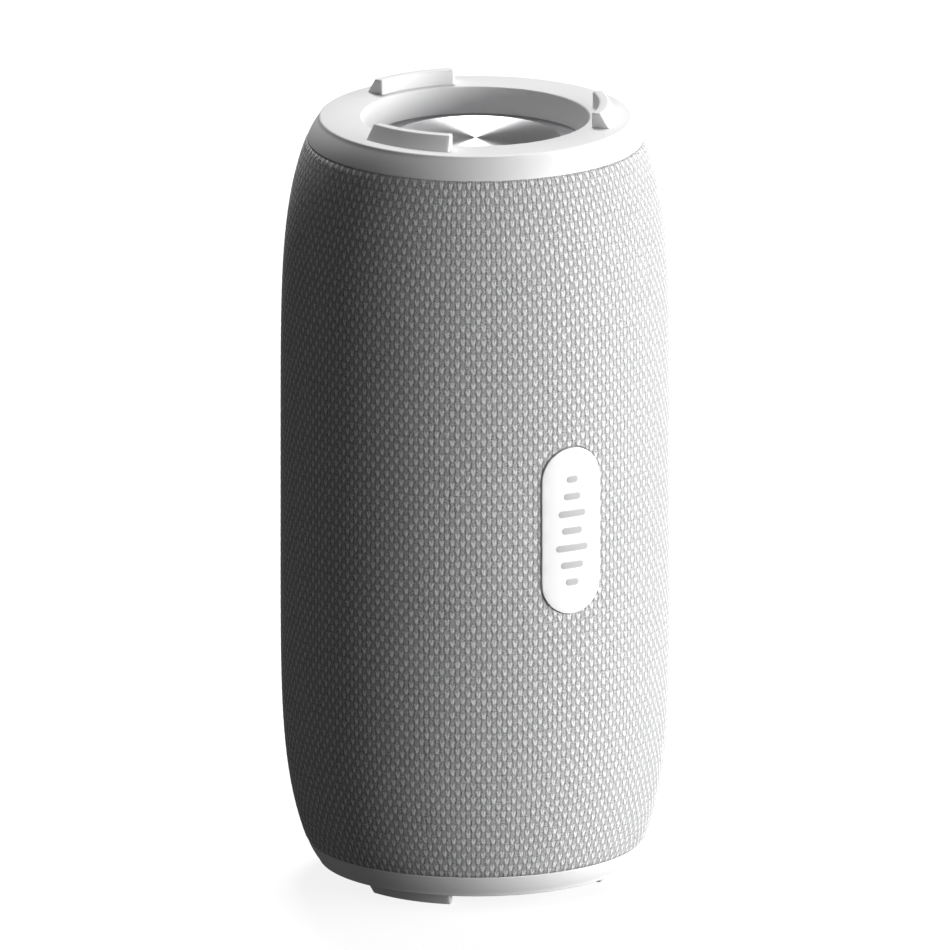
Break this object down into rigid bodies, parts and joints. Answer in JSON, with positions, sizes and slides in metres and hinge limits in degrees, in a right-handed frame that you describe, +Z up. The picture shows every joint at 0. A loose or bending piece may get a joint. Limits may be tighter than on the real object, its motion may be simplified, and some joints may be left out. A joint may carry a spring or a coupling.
{
  "type": "portable bluetooth speaker",
  "caption": "Upright barrel speaker in woven cloth, with lugged end rings, a passive radiator in each end, a front badge, and a rear strip of buttons over a capped charging port.",
  "frame": {"origin": "under the middle of the body, on the plane that the lower lugs stand on", "axes": "+Z up along the barrel's axis, -Y towards the badge and drivers, +Y towards the control strip"},
  "size_m": [0.086, 0.0868, 0.1754],
  "materials": {
    "ring_plastic": "satin moulded, near white",
    "cloth": "woven, light grey",
    "dark_plastic": "matte",
    "button_rubber": "matte",
    "dark_rubber": "matte",
    "radiator_rubber": "satin",
    "spun_aluminium": "spun, with fine concentric grooves",
    "plated_steel": "zinc plated",
    "magnet": "nickel plated",
    "paper_cone": "pressed, matte",
    "spider_cloth": "impregnated",
    "copper_coil": "enamelled copper",
    "circuit_board": "solder mask",
    "chips": "moulded",
    "cell_wrap": "gloss sleeve over a metal can",
    "clear_plastic": "clear, frosted",
    "wire_jacket": "satin",
    "ribbon": "satin"
  },
  "bodies": {
    "enclosure": {"top_end_ring": "ring_plastic", "bottom_end_ring": "ring_plastic", "fabric_sleeve": "cloth", "grille_front": "dark_plastic", "grille_rear": "dark_plastic", "badge_plate": "ring_plastic", "control_panel": "ring_plastic", "keypad_membrane": "button_rubber", "status_light_pipe": "clear_plastic", "control_board": "circuit_board", "tact_switches": "chips", "usb_socket": "plated_steel", "chassis_front": "dark_plastic", "chassis_rear": "dark_plastic", "chassis_gasket": "dark_rubber", "chassis_screws": "plated_steel", "radiator_screws": "plated_steel", "driver_screws": "plated_steel", "battery_cells": "cell_wrap", "battery_cradle": "dark_plastic", "main_board": "circuit_board", "board_components": "chips", "board_screws": "plated_steel", "ribbon_cable": "ribbon", "wiring_harness": "wire_jacket", "top_radiator_frame": "dark_plastic", "top_radiator_gasket": "dark_rubber", "top_radiator_surround": "radiator_rubber", "bottom_radiator_frame": "dark_plastic", "bottom_radiator_gasket": "dark_rubber", "bottom_radiator_surround": "radiator_rubber", "upper_driver_basket": "dark_plastic", "upper_driver_gasket": "dark_rubber", "upper_driver_surround": "dark_rubber", "upper_driver_spider": "spider_cloth", "upper_driver_top_plate": "plated_steel", "upper_driver_magnet": "magnet", "upper_driver_yoke": "plated_steel", "lower_driver_basket": "dark_plastic", "lower_driver_gasket": "dark_rubber", "lower_driver_surround": "dark_rubber", "lower_driver_spider": "spider_cloth", "lower_driver_top_plate": "plated_steel", "lower_driver_magnet": "magnet", "lower_driver_yoke": "plated_steel"},
    "power_button": {"power_button": "button_rubber"},
    "volume_up_button": {"volume_up_button": "button_rubber"},
    "play_button": {"play_button": "button_rubber"},
    "volume_down_button": {"volume_down_button": "button_rubber"},
    "port_flap": {"port_flap": "button_rubber"},
    "top_radiator": {"top_radiator_disc": "spun_aluminium", "top_radiator_weight": "dark_plastic"},
    "bottom_radiator": {"bottom_radiator_disc": "spun_aluminium", "bottom_radiator_weight": "dark_plastic"},
    "upper_cone": {"upper_driver_cone": "paper_cone", "upper_driver_dust_cap": "paper_cone", "upper_driver_voice_coil": "copper_coil"},
    "lower_cone": {"lower_driver_cone": "paper_cone", "lower_driver_dust_cap": "paper_cone", "lower_driver_voice_coil": "copper_coil"}
  },
  "joints": [
    {"name": "power_button_press", "type": "slide", "parent": "enclosure", "child": "power_button", "axis": [0, -1, 0], "range_m": [0, 0.0004], "stiffness_N_per_m": 3000, "deforming": ["keypad_membrane"]},
    {"name": "volume_up_button_press", "type": "slide", "parent": "enclosure", "child": "volume_up_button", "axis": [0, -1, 0], "range_m": [0, 0.0004], "stiffness_N_per_m": 3000, "deforming": ["keypad_membrane"]},
    {"name": "play_button_press", "type": "slide", "parent": "enclosure", "child": "play_button", "axis": [0, -1, 0], "range_m": [0, 0.0004], "stiffness_N_per_m": 3000, "deforming": ["keypad_membrane"]},
    {"name": "volume_down_button_press", "type": "slide", "parent": "enclosure", "child": "volume_down_button", "axis": [0, -1, 0], "range_m": [0, 0.0004], "stiffness_N_per_m": 3000, "deforming": ["keypad_membrane"]},
    {"name": "port_flap_swing", "type": "hinge", "parent": "enclosure", "child": "port_flap", "pos_m": [0, 0.04245, 0.0501], "axis": [-1, 0, 0], "range_deg": [0, 105]},
    {"name": "top_radiator_stroke", "type": "slide", "parent": "enclosure", "child": "top_radiator", "axis": [0, 0, 1], "range_m": [-0.0025, 0.0025], "stiffness_N_per_m": 900, "deforming": ["top_radiator_surround"]},
    {"name": "bottom_radiator_stroke", "type": "slide", "parent": "enclosure", "child": "bottom_radiator", "axis": [0, 0, -1], "range_m": [-0.0025, 0.0025], "stiffness_N_per_m": 900, "deforming": ["bottom_radiator_surround"]},
    {"name": "upper_cone_stroke", "type": "slide", "parent": "enclosure", "child": "upper_cone", "axis": [0, -1, 0], "range_m": [-0.0015, 0.0015], "stiffness_N_per_m": 1500, "deforming": ["upper_driver_surround", "upper_driver_spider"]},
    {"name": "lower_cone_stroke", "type": "slide", "parent": "enclosure", "child": "lower_cone", "axis": [0, -1, 0], "range_m": [-0.0015, 0.0015], "stiffness_N_per_m": 1500, "deforming": ["lower_driver_surround", "lower_driver_spider"]}
  ]
}
